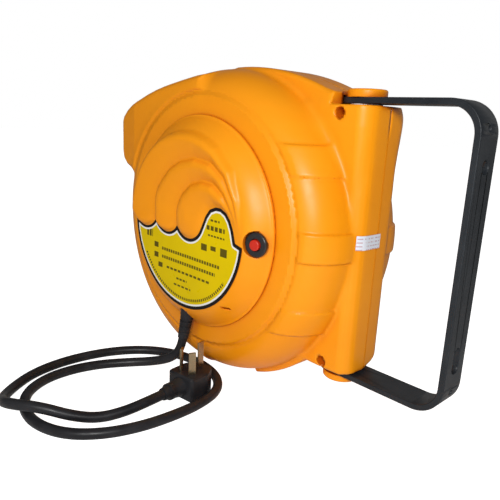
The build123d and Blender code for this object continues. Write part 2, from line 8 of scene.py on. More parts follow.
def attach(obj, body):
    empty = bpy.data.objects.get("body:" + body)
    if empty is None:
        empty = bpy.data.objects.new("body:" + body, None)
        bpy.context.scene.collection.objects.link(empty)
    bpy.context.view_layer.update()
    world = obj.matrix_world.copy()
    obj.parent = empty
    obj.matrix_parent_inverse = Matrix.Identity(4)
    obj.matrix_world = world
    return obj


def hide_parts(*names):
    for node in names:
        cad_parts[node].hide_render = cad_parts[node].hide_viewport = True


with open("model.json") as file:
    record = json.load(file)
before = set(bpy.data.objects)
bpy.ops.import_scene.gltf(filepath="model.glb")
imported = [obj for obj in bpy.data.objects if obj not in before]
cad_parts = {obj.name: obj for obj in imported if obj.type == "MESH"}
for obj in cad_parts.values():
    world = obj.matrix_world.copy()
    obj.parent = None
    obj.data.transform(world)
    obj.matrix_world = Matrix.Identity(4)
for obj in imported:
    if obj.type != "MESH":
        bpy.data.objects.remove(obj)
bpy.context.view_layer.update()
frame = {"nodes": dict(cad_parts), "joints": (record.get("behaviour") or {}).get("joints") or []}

MM = 0.001
spool_joint = next(j for j in frame["joints"] if j["name"] == "spool_spin")
swivel_joint = next(j for j in frame["joints"] if j["name"] == "bracket_swivel")
SPOOL = Vector(spool_joint["pos_m"])  # spool axis; the shapes below are drawn about it
PIVOT_X = (swivel_joint["pos_m"][0] - SPOOL.x) / MM


# ---------------------------------------------------------------- camera
CAMERA_HEADING = 0.800  # radians from +Y towards -X
CAMERA_DIP = 0.240
CAMERA_ROLL = 0.050
CAMERA_LENS = 38.67
CAMERA_FROM_SPOOL = Vector((0.3882, -0.3735, 0.0970))


def make_camera():
    """Camera at the side of the wall bracket, looking down a little."""
    forward = Vector((
        -math.sin(CAMERA_HEADING) * math.cos(CAMERA_DIP),
        math.cos(CAMERA_HEADING) * math.cos(CAMERA_DIP),
        -math.sin(CAMERA_DIP),
    ))
    level = Vector((math.cos(CAMERA_HEADING), math.sin(CAMERA_HEADING), 0))
    above = level.cross(forward)
    right = level * math.cos(CAMERA_ROLL) + above * math.sin(CAMERA_ROLL)
    up = above * math.cos(CAMERA_ROLL) - level * math.sin(CAMERA_ROLL)
    turn = Matrix((right, up, -forward)).transposed().to_4x4()
    data = bpy.data.cameras.new("camera")
    data.lens = CAMERA_LENS
    camera = bpy.data.objects.new("camera", data)
    camera.matrix_world = Matrix.Translation(SPOOL + CAMERA_FROM_SPOOL) @ turn
    bpy.context.scene.collection.objects.link(camera)
    bpy.context.scene.camera = camera


# ---------------------------------------------------------------- materials
class Shader:
    """A Principled material with a few short calls for its texture nodes."""

    def __init__(self, name, colour, rough, metal=0.0, specular=0.5):
        self.material = bpy.data.materials.new(name)
        self.material.use_nodes = True
        self.nodes = self.material.node_tree.nodes
        self.links = self.material.node_tree.links
        self.out = self.nodes["Principled BSDF"]
        self.out.inputs["Base Color"].default_value = (*colour, 1)
        self.out.inputs["Roughness"].default_value = rough
        self.out.inputs["Metallic"].default_value = metal
        self.out.inputs["Specular IOR Level"].default_value = specular
        self.place = self.nodes.new("ShaderNodeTexCoord").outputs["Object"]

    def node(self, kind, **values):
        made = self.nodes.new("ShaderNode" + kind)
        for key, value in values.items():
            setattr(made, key, value)
        return made

    def noise(self, scale, detail, stretch=(1, 1, 1)):
        """Noise in the object's own frame; scale is waves per metre."""
        mapping = self.node("Mapping")
        mapping.inputs["Scale"].default_value = stretch
        self.links.new(self.place, mapping.inputs["Vector"])
        noise = self.node("TexNoise")
        noise.inputs["Scale"].default_value = scale
        noise.inputs["Detail"].default_value = detail
        self.links.new(mapping.outputs["Vector"], noise.inputs["Vector"])
        return noise.outputs["Fac"]

    def ramp(self, source, stops):
        """Colour or grey ramp; stops are (position, value)."""
        ramp = self.node("ValToRGB")
        elements = ramp.color_ramp.elements
        while len(elements) < len(stops):
            elements.new(0.5)
        for element, (position, value) in zip(elements, stops):
            element.position = position
            element.color = (*value, 1) if isinstance(value, tuple) else (value, value, value, 1)
        self.links.new(source, ramp.inputs["Fac"])
        return ramp.outputs["Color"]

    def mix(self, factor, a, b):
        mix = self.node("Mix", data_type="RGBA")
        for socket, value in ((mix.inputs["Factor"], factor), (mix.inputs["A"], a), (mix.inputs["B"], b)):
            if isinstance(value, bpy.types.NodeSocket):
                self.links.new(value, socket)
            elif isinstance(value, tuple):
                socket.default_value = (*value, 1)
            else:
                socket.default_value = value
        return mix.outputs["Result"]

    def math(self, operation, a, b=0.0):
        """Math node of two sockets or numbers, named as in Blender."""
        made = self.node("Math", operation=operation)
        for socket, value in zip(made.inputs, (a, b)):
            if isinstance(value, bpy.types.NodeSocket):
                self.links.new(value, socket)
            else:
                socket.default_value = value
        return made.outputs["Value"]

    def creases(self, reach):
        """Ambient occlusion grey from 0 in a crease to 1 on an open face, used to paint shade into creases.
        """
        occlusion = self.node("AmbientOcclusion", samples=8)
        occlusion.inputs["Distance"].default_value = reach
        return occlusion.outputs["AO"]

    def paint(self, colour):
        self.links.new(colour, self.out.inputs["Base Color"])

    def polish(self, roughness):
        self.links.new(roughness, self.out.inputs["Roughness"])

    def bump(self, height, strength, distance):
        bump = self.node("Bump")
        bump.inputs["Strength"].default_value = strength
        bump.inputs["Distance"].default_value = distance
        self.links.new(height, bump.inputs["Height"])
        self.links.new(bump.outputs["Normal"], self.out.inputs["Normal"])


def moulded_orange():
    """Satin orange polypropylene: fine spark grain, faint flow marks, and painted shade that deepens the
    colour in creases.
    """
    shader = Shader("moulded_orange", (0.97, 0.33, 0.004), 0.38, specular=0.3)
    streaks = shader.noise(9, 4, (1, 1, 2.5))
    flow = shader.ramp(streaks, [(0.3, (0.955, 0.315, 0.003)), (0.7, (0.99, 0.345, 0.005))])
    # painted shade: ambient occlusion mixes a dark red-brown into the orange in creases and valleys
    depth = shader.ramp(shader.creases(0.010), [(0.35, 0.0), (0.92, 1.0)])
    shader.paint(shader.mix(depth, (0.60, 0.115, 0.002), flow))
    shader.polish(shader.ramp(shader.noise(55, 3), [(0.3, 0.33), (0.7, 0.42)]))
    shader.bump(shader.noise(1600, 2), 0.10, 0.0002)
    return shader.material


def powder_coat():
    """Blue-black powder coating with a low orange-peel surface and greyer patches."""
    shader = Shader("powder_coat", (0.013, 0.016, 0.019), 0.4, specular=0.35)
    dust = shader.ramp(shader.noise(40, 5), [(0.35, (0.013, 0.016, 0.020)), (0.75, (0.024, 0.028, 0.033))])
    shader.paint(dust)
    shader.polish(shader.ramp(shader.noise(70, 3), [(0.3, 0.34), (0.7, 0.46)]))
    shader.bump(shader.noise(900, 2), 0.22, 0.0004)
    return shader.material


def rubber(name, colour, rough, grain):
    """Soft black compound; grain is its surface texture in waves per metre."""
    shader = Shader(name, colour, rough, specular=0.22)
    lighter = tuple(c * 1.9 + 0.003 for c in colour)
    shader.paint(shader.ramp(shader.noise(60, 5), [(0.35, colour), (0.8, lighter)]))
    shader.polish(shader.ramp(shader.noise(130, 3), [(0.3, rough - 0.07), (0.7, rough + 0.07)]))
    shader.bump(shader.noise(grain, 2), 0.15, 0.0002)
    return shader.material


def plastic(name, colour, rough):
    """Plain moulding with slightly uneven colour and polish."""
    shader = Shader(name, colour, rough)
    darker = tuple(c * 0.86 for c in colour)
    shader.paint(shader.ramp(shader.noise(45, 3), [(0.3, darker), (0.7, colour)]))
    shader.polish(shader.ramp(shader.noise(120, 3), [(0.3, rough - 0.05), (0.7, rough + 0.05)]))
    shader.bump(shader.noise(1400, 2), 0.08, 0.0002)
    return shader.material


def metal(name, colour, rough):
    """Drawn or rolled metal with fine lines along one way."""
    shader = Shader(name, colour, rough, metal=1.0)
    darker = tuple(c * 0.75 for c in colour)
    lines = shader.noise(260, 4, (1, 1, 14))
    shader.paint(shader.ramp(lines, [(0.25, darker), (0.7, colour)]))
    shader.polish(shader.ramp(lines, [(0.3, rough - 0.06), (0.7, rough + 0.1)]))
    shader.bump(lines, 0.06, 0.0002)
    return shader.material


# ---------------------------------------------------------------- shapes as distance fields
# A field takes arrays of x, y, z in millimetres about the spool axis and gives the distance to the
# shape's surface, negative inside. skin() turns a field into a mesh.
def join(a, b, soft=0.0):
    """Union of two fields with a fillet about as wide as soft."""
    if np.isscalar(soft) and soft == 0:
        return np.minimum(a, b)  # a sharp corner
    h = np.clip(0.5 + 0.5 * (b - a) / soft, 0, 1)
    return b * (1 - h) + a * h - soft * h * (1 - h)


def meet(a, b, soft=0.0):
    """What two fields have in common."""
    return -join(-a, -b, soft)


def cut(a, b, soft=0.0):
    """Field a without field b."""
    return meet(a, -b, soft)


def prism(outline, half, edge):
    """Field of an outline's distance and a half-thickness distance, with rounded edges."""
    a, b = outline + edge, half + edge
    corner = np.hypot(np.maximum(a, 0), np.maximum(b, 0))
    return np.minimum(np.maximum(a, b), 0) + corner - edge


def block(x, y, z, x0, x1, y0, y1, z0, z1):
    """Square-edged box between two corners."""
    spans = ((x, x0, x1), (y, y0, y1), (z, z0, z1))
    sides = [abs(v - (a + b) / 2) - (b - a) / 2 for v, a, b in spans]
    return np.maximum(np.maximum(sides[0], sides[1]), sides[2])


class Sampled:
    """A function of two coordinates kept on a fine grid and read back between its points."""

    STEP = 0.5

    def __call__(self, u, v):
        a = (np.asarray(u) - self.low[0]) / self.STEP
        b = (np.asarray(v) - self.low[1]) / self.STEP
        rows, columns = self.grid.shape
        a_in, b_in = np.clip(a, 0, rows - 1.001), np.clip(b, 0, columns - 1.001)
        i, j = a_in.astype(int), b_in.astype(int)
        s, t = a_in - i, b_in - j
        g = self.grid
        low = g[i, j] * (1 - s) + g[i + 1, j] * s
        high = g[i, j + 1] * (1 - s) + g[i + 1, j + 1] * s
        beyond = np.hypot(a - a_in, b - b_in) * self.STEP
        return low * (1 - t) + high * t + beyond

    def blur(self, width):
        """Smooths the grid by a bell of this width in millimetres."""
        reach = int(3 * width / self.STEP)
        bell = np.exp(-0.5 * (np.arange(-reach, reach + 1) * self.STEP / width) ** 2)
        bell /= bell.sum()
        for axis in (0, 1):
            pad = [(reach, reach) if k == axis else (0, 0) for k in (0, 1)]
            wide = np.pad(self.grid, pad, mode="edge")
            span = self.grid.shape[axis]
            parts = [w * np.take(wide, range(k, k + span), axis) for k, w in enumerate(bell)]
            self.grid = np.sum(parts, 0)


class Outline(Sampled):
    """Signed distance to a closed outline."""

    MARGIN = 14.0

    def __init__(self, points):
        points = np.array(points, float)
        self.low = points.min(0) - self.MARGIN
        u, v = [np.arange(a, b, self.STEP) for a, b in zip(self.low, points.max(0) + self.MARGIN)]
        u, v = np.meshgrid(u, v, indexing="ij")
        nearest = np.full(u.shape, 1e9)
        inside = np.zeros(u.shape, bool)
        for (ax, ay), (bx, by) in zip(points, np.roll(points, -1, 0)):
            length2 = max((bx - ax) ** 2 + (by - ay) ** 2, 1e-12)
            t = np.clip(((u - ax) * (bx - ax) + (v - ay) * (by - ay)) / length2, 0, 1)
            nearest = np.minimum(nearest, (u - ax - t * (bx - ax)) ** 2 + (v - ay - t * (by - ay)) ** 2)
            crosses = (ay > v) != (by > v)
            inside ^= crosses & (u < (bx - ax) * (v - ay) / (by - ay + 1e-12) + ax)
        self.grid = np.where(inside, -1, 1) * np.sqrt(nearest)


def gradient(field, p, h=0.08):
    """Slope of a field at points p, from steps of h millimetres either way."""
    g = np.empty_like(p)
    for axis in range(3):
        step = np.zeros(3)
        step[axis] = h
        g[:, axis] = (field(*(p + step).T) - field(*(p - step).T)) / (2 * h)
    return g


def crossing_mean(values, cells):
    """Mean of the points where a cell's twelve edges meet the surface, from its low corner."""
    total, count = np.zeros(cells.shape), np.zeros(len(cells))
    for axis in range(3):
        for i in (0, 1):
            for j in (0, 1):
                start = np.zeros(3, int)
                start[(axis + 1) % 3], start[(axis + 2) % 3] = i, j
                end = start.copy()
                end[axis] = 1
                a, b = values[tuple((cells + start).T)], values[tuple((cells + end).T)]
                meets = (a < 0) != (b < 0)
                part = np.where(meets, a / np.where(meets, a - b, 1), 0)
                total += meets[:, None] * start
                total[:, axis] += part
                count += meets
    return total / np.maximum(count, 1)[:, None]


def skin(name, field, low, high, step, material):
    """Mesh of a field's zero surface, with its points on the surface and its normals from the field."""
    low = np.array(low, float)
    axes = [np.arange(a, b + step, step) for a, b in zip(low, high)]
    values = field(*np.meshgrid(*axes, indexing="ij"))
    inside = values < 0
    wide, deep, tall = (n - 1 for n in inside.shape)
    corners = sum(
        inside[i:wide + i, j:deep + j, k:tall + k].astype(np.int8)
        for i in (0, 1) for j in (0, 1) for k in (0, 1)
    )
    mixed = (corners > 0) & (corners < 8)
    cells = np.argwhere(mixed)
    index = np.full(mixed.shape, -1)
    index[mixed] = np.arange(len(cells))
    points = low + (cells + crossing_mean(values, cells)) * step
    for _ in range(3):
        slope = gradient(field, points)
        move = field(*points.T) / np.maximum((slope ** 2).sum(1), 0.3)
        points = points - slope * np.clip(move, -step / 3, step / 3)[:, None]
    quads = []
    for axis in range(3):
        order = [axis, (axis + 1) % 3, (axis + 2) % 3]
        solid, number = inside.transpose(order), index.transpose(order)
        here, there = solid[:-1, 1:-1, 1:-1], solid[1:, 1:-1, 1:-1]
        ring = [number[:, :-1, :-1], number[:, 1:, :-1], number[:, 1:, 1:], number[:, :-1, 1:]]
        for change, turn in ((here & ~there, 1), (~here & there, -1)):
            quads.append(np.stack([corner[change] for corner in ring[::turn]], 1))
    quads = np.concatenate(quads)
    normals = gradient(field, points)
    normals /= np.maximum(np.linalg.norm(normals, axis=1), 1e-6)[:, None]
    mesh = bpy.data.meshes.new(name)
    mesh.from_pydata((points * MM + np.array(SPOOL)).tolist(), [], quads.tolist())
    mesh.materials.append(material)
    mesh.shade_smooth()
    mesh.normals_split_custom_set_from_vertices(normals.tolist())
    made = bpy.data.objects.new(name, mesh)
    bpy.context.scene.collection.objects.link(made)
    return made


def settle(piece, body, slot, *nodes):
    """Puts a piece on its body, in place of its CAD nodes."""
    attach(piece, body)
    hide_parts(*nodes)


def arc(a, b, c, count):
    """Points on the circle through a, b and c, from a to c."""
    (ax, ay), (bx, by), (cx, cy) = a, b, c
    d = 2 * (ax * (by - cy) + bx * (cy - ay) + cx * (ay - by))
    sa, sb, sc = ax * ax + ay * ay, bx * bx + by * by, cx * cx + cy * cy
    ux = (sa * (by - cy) + sb * (cy - ay) + sc * (ay - by)) / d
    uy = (sa * (cx - bx) + sb * (ax - cx) + sc * (bx - ax)) / d
    angles = [math.atan2(q - uy, p - ux) for p, q in (a, b, c)]
    span = (angles[2] - angles[0]) % (2 * math.pi)
    if (angles[1] - angles[0]) % (2 * math.pi) > span:
        span -= 2 * math.pi
    r = math.hypot(ax - ux, ay - uy)
    turns = [angles[0] + span * k / count for k in range(count)]
    return [(ux + r * math.cos(t), uy + r * math.sin(t)) for t in turns]


# ---------------------------------------------------------------- housing
# Lengths in millimetres. Half-widths and depths are measured from the parting plane.
BODY_R, BODY_DROP = 145.0, 4.0
SHOULDER = (115.0, 20.0, 30.0, 41.2)  # start radius, start half-width, rise, depth
DISC_R, DISC_Y = 115.0, 63.5
RIM_FALL = 4.3  # drop across the disc's sloped rim
BANK_RISE = 1.6  # steepness of the bank outside that rim
HOOD_HALF, HOOD_FRONT = 57.0, 150.5
SPINE_HALF, SPINE_END = 25.0, 114.5
POST_TOP = 111.0
BAND_Z = (-67.0, 0.0, 67.0)
BAND_HALF, BAND_RISE = 12.0, 2.0
WALL = 4.0
HOOD = Outline([
    (-95, 30), (-119, 35.5), (-128, 36.5), (-141, 40), (-149.5, 46.5), (-152, 55), (-152, 88),
    (-149, 94), (-139.5, 101), (-129, 106), (-114, 111), (-99, 116.3), (-84, 120.7), (-70, 124),
    (-57, 126.6), (-44, 128.8), (-32, 130.6), (-20, 132.5), (-10, 133.5), (0, 100),
])
SPINE_TOP = [(x, 141.5 + 0.075 * x - 0.00232 * x * x) for x in range(0, 112, 8)]
SPINE = Outline(SPINE_TOP + [
    (SPINE_END, 120.6), (SPINE_END, POST_TOP), (PIVOT_X + 15, POST_TOP), (PIVOT_X + 15, -POST_TOP),
    (98, -POST_TOP), (0, 0),
])
POST_NEAR = [(96, -10), (96, 21), (106, 24), (118, 25.6), (130, 26.1)]
POST_CORNER = arc((151.5, 13), (147.5, 22), (138, 26), 9)[::-1]
POST = Outline(POST_NEAR + POST_CORNER + [(152, 0), (151.6, -10)])
POST_SCREWS = ((125.0, 104.5), (125.0, -104.5))
SCREW_WELL, SCREW_BOSS = 4.6, 9.6  # radii
ROD_BORE, ROD_SLEEVE = 6.5, 13.5
BUSH_SEAT, BUSH_SEAT_Z = 9.15, 89.0
CAP_ROOM = 19.5  # radius kept clear round the upper swivel
SHAFT_BORE = 8.2
OUTLET_HALF, OUTLET_Z = 29.2, (56.9, 86.1)
SEAM = 0.02


def drum(x, y, z, grow=0.0):
    """Round body with an elliptical shoulder."""
    start_r, start_y, rise, depth = SHOULDER
    r = np.hypot(x, z + BODY_DROP)
    u, v = np.maximum(r - start_r, 0), np.maximum(y - start_y, 0)
    near = np.hypot(u / rise, v / depth)
    scale = np.hypot(u / rise ** 2, v / depth ** 2)
    shoulder = near * (near - 1) / np.maximum(scale, 1e-6)
    inner = np.maximum(r - BODY_R, y - start_y - depth)
    return np.where(scale > 1e-6, shoulder, inner) - grow


def bands(x, y, z):
    """Raised level bands on the wall-side quarter, the keel and the short rib under the drum."""
    skin_out = drum(x, y, z, BAND_RISE * np.clip((np.hypot(x, z) - 117) / 9, -0.4, 1))
    raised = np.minimum.reduce([abs(z - at) for at in BAND_Z]) - BAND_HALF
    banded = meet(meet(skin_out, raised, 1.6), 60 - x, 1.0)
    keel = meet(drum(x, y, z, 5.0), y - SPINE_HALF, 3.0)
    keel = np.maximum(np.maximum(keel, abs(x - 76.5) - 31.5), z + 84)
    rib = np.maximum(drum(x, y, z, 1.6), np.maximum(abs(x) - 1.2, z + 118))
    return join(join(banded, keel, 2.0), rib, 1.0)


def rim_radius(turn):
    """Outer radius of the disc's sloped rim, which spirals out towards the hood."""
    from_hood = (turn - math.radians(168) + math.pi) % (2 * math.pi) - math.pi
    return 118.2 + 7.0 * np.exp(-(from_hood / 0.95) ** 2)


def housing_outside(x, y, z, spring_side):
    """Outer shape of one half; y is the distance from the parting plane."""
    r = np.hypot(x, z)
    rim = rim_radius(np.arctan2(z, x))
    slope = DISC_Y - RIM_FALL * np.clip((r - DISC_R) / (rim - DISC_R), 0, 1)
    disc = meet(y - slope, r - rim, 1.5)
    bank = (y - slope - BANK_RISE * (r - rim)) / math.hypot(1, BANK_RISE)
    face = HOOD_HALF + np.clip(0.12 * (x + HOOD_FRONT), 0, 3.8)
    hood = prism(HOOD(x, z), y - face, 7.0)
    spine = prism(SPINE(x, z), y - SPINE_HALF, 4.0)
    corner = 3.5 + (7.5 * np.clip(y / 16, 0, 1) if spring_side else 0)
    post = prism(POST(x, y), abs(z) - POST_TOP, corner)
    body = join(drum(x, y, z), hood, 9.0)
    body = join(body, spine, 5.0)
    body = join(body, bands(x, y, z), 1.6)
    flow = 2 + 14 * np.clip((z - 45) / 50, 0, 1)
    body = join(body, post, flow)
    bracket_room = np.maximum(SPINE_END + 0.1 - x, POST_TOP + 0.2 - abs(z))
    body = cut(body, bracket_room, 0.8)
    body = meet(body, join(y - slope, bank, 2.8), 2.0)
    return join(body, disc, 2.0)


def bore_z(x, y, r):
    """Upright bore about the swivel."""
    return np.hypot(x - PIVOT_X, y) - r


def bore_y(x, z, r, at=(0.0, 0.0)):
    """Bore across the housing."""
    return np.hypot(x - at[0], z - at[1]) - r


def housing_half(side):
    """Half shell on the label side (-1) or the spring side (+1) of the parting plane."""
    pad_x, pad_reach = ((-20, 34), 14) if side < 0 else ((-20, 46), 44)

    def field(x, y, z):
        y = y * side
        shape = housing_outside(x, abs(y), z, side > 0)
        hollow = np.maximum(shape + WALL, ROD_SLEEVE - np.hypot(x - PIVOT_X, y))
        for at in POST_SCREWS:
            hollow = np.maximum(hollow, SCREW_BOSS - bore_y(x, z, 0, at))
        rest = np.maximum(block(x, y, z, *pad_x, -1, pad_reach, -150, -125), -2.5 - shape)
        shape = join(shape, rest, 0.8)
        shape = cut(shape, hollow)
        shape = cut(shape, bore_z(x, y, ROD_BORE))
        shape = cut(shape, np.maximum(bore_z(x, y, BUSH_SEAT), BUSH_SEAT_Z - abs(z)), 0.4)
        shape = cut(shape, np.maximum(bore_z(x, y, CAP_ROOM), POST_TOP - z), 0.5)
        shape = cut(shape, bore_y(x, z, SHAFT_BORE))
        mouth = block(x, y, z, -170, -HOOD_FRONT + 12, -1, OUTLET_HALF, *OUTLET_Z)
        shape = cut(shape, mouth, 0.6)
        if side < 0:
            for at in POST_SCREWS:
                shape = cut(shape, np.maximum(bore_y(x, z, SCREW_WELL, at), 16 - y), 0.8)
            breaker_window = block(x, y, z, 74, 96, 36, 70, -13, 9)
            shape = cut(shape, breaker_window)
        return meet(shape, SEAM - y, 0.8)

    return field


def make_housing(material):
    for side, node, y0, y1 in ((-1, "housing_left", -66, 2), (1, "housing_right", -2, 66)):
        low, high = (-155, y0, -153), (156, y1, 147)
        piece = skin(node + "_shell", housing_half(side), low, high, 2.0, material)
        settle(piece, "housing", "orange_shell", node)


# ---------------------------------------------------------------- terminal cover and its label
COVER_R = 98.5
COVER_WALL = 4.6
DISH_START, DISH_END, DISH_FALL = 77, 97, 15.6  # radii and depth of the slope round the flat face
LABEL_Y, LABEL_R = 82.0, 79.0
LOBE_RISE = 7.2
BREAKER_TILT = math.radians(12)
BREAKER_AT = (88.0, -74.0, -2.0)
BREAKER_SEAT, BREAKER_BORE = 11.0, 7.3
GLAND_TOP = np.array((-2.5, -72.6, -82.0))
GLAND_END = np.array((-6.0, -76.0, -114.0))
GLAND_BORE = 6.95


def on_circle(r, degrees):
    return r * math.cos(math.radians(degrees)), r * math.sin(math.radians(degrees))


LABEL_LEFT, LABEL_RIGHT = on_circle(LABEL_R, 182.2), on_circle(LABEL_R, -4.5)
WAVES = (
    arc(LABEL_LEFT, (-61, -10.5), (-44, 0), 14)
    + arc((-44, 0), (-26, -10.5), (-10, -2), 14)
    + arc((-10, -2), (7, -11.5), (24, -1), 14)
)
HUMP = [
    (24, -1), (27.5, 6), (31, 13), (36.5, 19.5), (44, 22.5), (51, 22.6), (58, 19.5), (63, 14), (67, 6),
    (70, -4),
]
LABEL = Outline(WAVES + HUMP + arc(LABEL_RIGHT, (0, -LABEL_R), LABEL_LEFT, 60))
OUTER_RIM = [on_circle(84, t) for t in range(60, 185, 5)]
OUTER_LOBE = Outline(OUTER_RIM + [(-60, -30), (60, -30), (74, -6), (75, 12), (72, 32), (62, 55)])
MIDDLE_LOBE = Outline([
    (-44, 0), (-42, 6), (-43, 16), (-40, 28), (-31, 39), (-19, 50), (-5, 57), (16, 61.5), (38, 59), (55, 48),
    (66, 31), (72, 10), (72, -8), (40, -30), (-30, -30), (-40, -12),
])
INNER_LOBE = Outline([
    (-10, -2), (-8, 4), (-8.5, 12), (-6, 20), (0, 29), (12, 38.5), (27, 43), (42, 42), (55, 34), (65, 19),
    (70, 4), (70, -10), (40, -30), (2, -30), (-6, -12),
])


def lobe(outer, inner):
    """Height of one swirl lobe, 0 to 1: a steep round rise at its outer edge, then a long fall inwards."""
    into, left = np.maximum(-outer, 0), np.maximum(inner, 0)
    rise = np.sqrt(1 - (1 - np.clip(into / 9, 0, 1)) ** 2)
    across = into / np.maximum(into + left, 1e-6)
    return rise * (1 - 0.80 * across ** 1.5)


def cover_base(r):
    """Reach of the plain dished cover under its lobes."""
    return LABEL_Y - DISH_FALL * np.clip((r - DISH_START) / (DISH_END - DISH_START), 0, 1) ** 1.75


def cover_shape(x, z):
    """Furthest -Y reach of the cover, in millimetres from the parting plane."""
    outer, middle, inner = OUTER_LOBE(x, z), MIDDLE_LOBE(x, z), INNER_LOBE(x, z)
    label = LABEL(x, z)
    inner_two = np.where(inner > 0, lobe(middle, inner), lobe(inner, label))
    swirl = np.where(middle > 0, lobe(outer, middle), inner_two)
    edge = np.sqrt(1 - (1 - np.clip((label - 0.4) / 7, 0, 1)) ** 2)
    above = (outer < 0) & (label > 0)
    tip = np.clip(np.hypot(x - 72, z - 2) / 34, 0.12, 1)
    return cover_base(np.hypot(x, z)) + np.where(above, LOBE_RISE * swirl * edge * tip, 0)


class Relief(Sampled):
    """The cover's reach on a grid, with its valleys softened as in a moulding."""

    def __init__(self, reach):
        self.low = (-reach, -reach)
        line = np.arange(-reach, reach, self.STEP)
        self.grid = cover_shape(*np.meshgrid(line, line, indexing="ij"))
        self.blur(1.0)


cover_height = Relief(104.0)


def breaker_place(x, y, z):
    """Position about the breaker's own axis: across, along and up."""
    dx, dy = x - BREAKER_AT[0], y - BREAKER_AT[1]
    across = dx * math.cos(BREAKER_TILT) + dy * math.sin(BREAKER_TILT)
    along = dy * math.cos(BREAKER_TILT) - dx * math.sin(BREAKER_TILT)
    return across, along, z - BREAKER_AT[2]


def gland_reach(x, y, z):
    """Distance along the gland's axis past its top, and away from that axis."""
    axis = (GLAND_END - GLAND_TOP) / np.linalg.norm(GLAND_END - GLAND_TOP)
    d = [x - GLAND_TOP[0], y - GLAND_TOP[1], z - GLAND_TOP[2]]
    along = d[0] * axis[0] + d[1] * axis[1] + d[2] * axis[2]
    away = np.sqrt(np.maximum(d[0] ** 2 + d[1] ** 2 + d[2] ** 2 - along ** 2, 0))
    return along, away


def cover_field(x, y, z):
    """Hollow cover with its breaker seat, breaker bore, pry slot and cord hole."""
    r = np.hypot(x, z)
    lean = 0.80  # brings the height's slope nearer to a true distance
    top = (-y - cover_height(x, z)) * lean
    shape = meet(top, r - COVER_R, 1.2)
    shape = np.maximum(shape, DISC_Y + 0.05 + y)
    hollow = np.maximum(np.maximum(-y - cover_base(r) + COVER_WALL, r - COVER_R + 4), 60 + y)
    shape = cut(shape, hollow)
    across, along, up = breaker_place(x, y, z)
    shape = cut(shape, np.maximum(np.hypot(across, up) - BREAKER_SEAT, along), 0.4)
    shape = cut(shape, np.hypot(across, up) - BREAKER_BORE)
    pry_slot = block(x, y, z, 52, 60, -80, -60, -66, -64.6)
    shape = cut(shape, pry_slot)
    along, away = gland_reach(x, y, z)
    return cut(shape, np.maximum(away - GLAND_BORE, -4.2 - along), 0.5)


def make_cover(material):
    low, high = (-101, -89, -101), (101, -61, 101)
    piece = skin("terminal_cover_shell", cover_field, low, high, 1.25, material)
    settle(piece, "housing", "orange_cover", "terminal_cover")


# ---------------------------------------------------------------- label
def label_print():
    """Printed film: black edge, white line and yellow field with plain generic bars."""
    shader = Shader("printed_label", (0.80, 0.58, 0.0), 0.5, specular=0.08)
    inset, across, up = (
        shader.node("Attribute", attribute_name=title).outputs["Fac"] for title in ("inset", "across", "up")
    )
    ink = (0.010, 0.009, 0.008)
    field = shader.ramp(shader.noise(30, 3), [(0.3, (0.75, 0.545, 0.0)), (0.7, (0.81, 0.59, 0.0))])
    # rows of short bars: left end, right end, middle height, half height, bar length
    rows = (
        (38, 50, 10.5, 0.9, 5), (33, 57, 3.6, 2.0, 5.5), (35, 57, -3.0, 0.8, 4), (-34, 52, -29.0, 1.5, 3.6),
        (-34, 46, -37.0, 1.5, 3.6), (-26, 40, -46.0, 1.1, 6), (-10, 6, -53.5, 1.0, 5),
        (-14, 12, -60.0, 0.9, 6), (-60, -50, -17.0, 3.6, 4.5), (-47, -40, -27.0, 2.6, 12),
        (-47, -40, -37.0, 2.6, 12), (-40, -33, -46.0, 2.4, 12), (26, 34, -15.0, 3.0, 12),
        (39, 46, -14.0, 2.0, 12), (52, 61, -15.0, 3.6, 12),
    )

    def near(value, middle, reach):
        gap = shader.math("ABSOLUTE", shader.math("SUBTRACT", value, middle))
        return shader.math("LESS_THAN", gap, reach)

    marks = None
    for x0, x1, height, half, length in rows:
        inside = shader.math("MULTIPLY", near(across, (x0 + x1) / 2, (x1 - x0) / 2), near(up, height, half))
        steps = shader.math("DIVIDE", shader.math("SUBTRACT", across, x0 - 100 * length), length)
        bar = shader.math("LESS_THAN", shader.math("FRACT", steps), 0.72)
        row = shader.math("MULTIPLY", inside, bar)
        marks = row if marks is None else shader.math("MAXIMUM", marks, row)
    squares = shader.math("ADD", shader.math("POWER", across, 2.0), shader.math("POWER", up, 2.0))
    radius = shader.math("SQRT", squares)
    outside, inside = shader.math("GREATER_THAN", radius, 69.6), shader.math("LESS_THAN", radius, 72.2)
    turn = shader.math("ARCTAN2", up, across)
    right, left = shader.math("LESS_THAN", turn, -0.62), shader.math("GREATER_THAN", turn, -2.6)
    dashes = shader.math("LESS_THAN", shader.math("FRACT", shader.math("MULTIPLY", turn, 24.0)), 0.62)
    rim = shader.math("MULTIPLY", outside, inside)
    for part in (right, left, dashes):
        rim = shader.math("MULTIPLY", rim, part)
    marks = shader.math("MULTIPLY", shader.math("MAXIMUM", marks, rim), 0.86)
    colour = shader.mix(marks, field, ink)
    colour = shader.mix(shader.math("LESS_THAN", inset, 4.7), colour, (0.86, 0.86, 0.84))
    colour = shader.mix(shader.math("LESS_THAN", inset, 3.0), colour, (0.012, 0.010, 0.010))
    shader.paint(colour)
    shader.polish(shader.ramp(shader.noise(90, 3), [(0.3, 0.27), (0.7, 0.37)]))
    shader.bump(shader.noise(300, 3), 0.05, 0.0002)
    return shader.material


